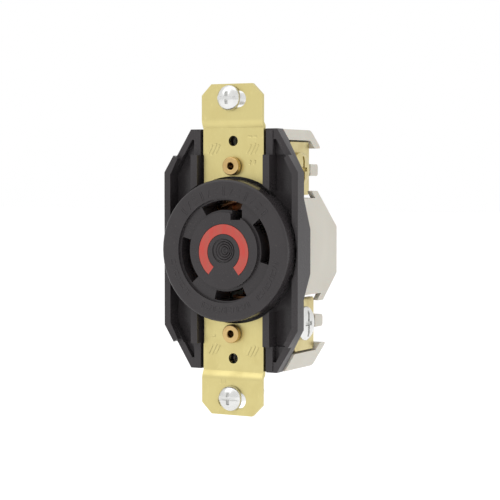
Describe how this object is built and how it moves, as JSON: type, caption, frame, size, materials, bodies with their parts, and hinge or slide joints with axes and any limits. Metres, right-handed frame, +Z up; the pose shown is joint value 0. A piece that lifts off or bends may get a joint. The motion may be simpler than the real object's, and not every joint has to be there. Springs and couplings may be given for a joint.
{
  "type": "locking receptacle",
  "caption": "Flush-mounting locking receptacle: round black face with curved blade slots, brass strap ears, ivory rear body and side screw terminals.",
  "frame": {"origin": "on the axis of the round face, in the plane of the strap ears' back faces, which lies against the wall box", "axes": "+Z up along the strap, -Y out of the face towards the user, +X to the right seen from the front"},
  "size_m": [0.042, 0.0311, 0.0918],
  "materials": {
    "black_nylon": "satin moulded",
    "ivory_nylon": "satin moulded",
    "red_print": "matt print",
    "strap_brass": "rolled, brass plated",
    "rivet_brass": "turned",
    "terminal_brass": "stamped",
    "contact_copper_alloy": "stamped",
    "zinc_steel": "zinc plated",
    "green_steel": "dyed green plating",
    "washer_fibre": "pressed fibre"
  },
  "bodies": {
    "receptacle": {"front_housing": "black_nylon", "rear_body": "ivory_nylon", "red_marking": "red_print", "ground_strip": "contact_copper_alloy", "upper_strap": "strap_brass", "upper_rivet": "rivet_brass", "lower_strap": "strap_brass", "lower_rivet": "rivet_brass", "right_line_contact": "contact_copper_alloy", "upper_right_terminal_plate": "terminal_brass", "neutral_contact": "contact_copper_alloy", "lower_right_terminal_plate": "terminal_brass", "ground_contact": "contact_copper_alloy", "upper_left_terminal_plate": "terminal_brass", "left_line_contact": "contact_copper_alloy", "lower_left_terminal_plate": "terminal_brass"},
    "upper_right_clamp": {"upper_right_clamp_plate": "terminal_brass"},
    "upper_right_screw": {"upper_right_terminal_screw": "terminal_brass"},
    "lower_right_clamp": {"lower_right_clamp_plate": "terminal_brass"},
    "lower_right_screw": {"lower_right_terminal_screw": "zinc_steel"},
    "upper_left_clamp": {"upper_left_clamp_plate": "terminal_brass"},
    "upper_left_screw": {"upper_left_terminal_screw": "green_steel"},
    "lower_left_clamp": {"lower_left_clamp_plate": "terminal_brass"},
    "lower_left_screw": {"lower_left_terminal_screw": "terminal_brass"},
    "upper_washer": {"upper_retaining_washer": "washer_fibre"},
    "upper_mount_screw": {"upper_mounting_screw": "zinc_steel"},
    "lower_washer": {"lower_retaining_washer": "washer_fibre"},
    "lower_mount_screw": {"lower_mounting_screw": "zinc_steel"}
  },
  "joints": [
    {"name": "upper_right_clamp_slide", "type": "slide", "parent": "receptacle", "child": "upper_right_clamp", "axis": [1, 0, 0], "range_m": [-0.00198, 0.00099]},
    {"name": "upper_right_screw_turn", "type": "hinge", "parent": "upper_right_clamp", "child": "upper_right_screw", "pos_m": [0.0152, 0.0086, 0.0223], "axis": [1, 0, 0], "range_deg": [-900, 450]},
    {"name": "lower_right_clamp_slide", "type": "slide", "parent": "receptacle", "child": "lower_right_clamp", "axis": [1, 0, 0], "range_m": [-0.00198, 0.00099]},
    {"name": "lower_right_screw_turn", "type": "hinge", "parent": "lower_right_clamp", "child": "lower_right_screw", "pos_m": [0.0168, 0.0086, -0.0203], "axis": [1, 0, 0], "range_deg": [-900, 450]},
    {"name": "upper_left_clamp_slide", "type": "slide", "parent": "receptacle", "child": "upper_left_clamp", "axis": [-1, 0, 0], "range_m": [-0.00198, 0.00099]},
    {"name": "upper_left_screw_turn", "type": "hinge", "parent": "upper_left_clamp", "child": "upper_left_screw", "pos_m": [-0.0168, 0.0086, 0.0223], "axis": [-1, 0, 0], "range_deg": [-900, 450]},
    {"name": "lower_left_clamp_slide", "type": "slide", "parent": "receptacle", "child": "lower_left_clamp", "axis": [-1, 0, 0], "range_m": [-0.00198, 0.00099]},
    {"name": "lower_left_screw_turn", "type": "hinge", "parent": "lower_left_clamp", "child": "lower_left_screw", "pos_m": [-0.0152, 0.0086, -0.0203], "axis": [-1, 0, 0], "range_deg": [-900, 450]},
    {"name": "upper_washer_slide", "type": "slide", "parent": "receptacle", "child": "upper_washer", "axis": [1, 0, 0], "range_m": [-0.0019, 0.0027]},
    {"name": "upper_mount_screw_turn", "type": "hinge", "parent": "upper_washer", "child": "upper_mount_screw", "pos_m": [-0.0005, 0, 0.04197], "axis": [0, -1, 0], "continuous": true},
    {"name": "lower_washer_slide", "type": "slide", "parent": "receptacle", "child": "lower_washer", "axis": [1, 0, 0], "range_m": [-0.0024, 0.0024]},
    {"name": "lower_mount_screw_turn", "type": "hinge", "parent": "lower_washer", "child": "lower_mount_screw", "pos_m": [-0.00005, 0, -0.04117], "axis": [0, -1, 0], "continuous": true}
  ],
  "couplings": [
    {"joint": "upper_right_screw_turn", "follows": "upper_right_clamp_slide", "rad_per_m": 7915.8},
    {"joint": "lower_right_screw_turn", "follows": "lower_right_clamp_slide", "rad_per_m": 7915.8},
    {"joint": "upper_left_screw_turn", "follows": "upper_left_clamp_slide", "rad_per_m": 7915.8},
    {"joint": "lower_left_screw_turn", "follows": "lower_left_clamp_slide", "rad_per_m": 7915.8}
  ]
}
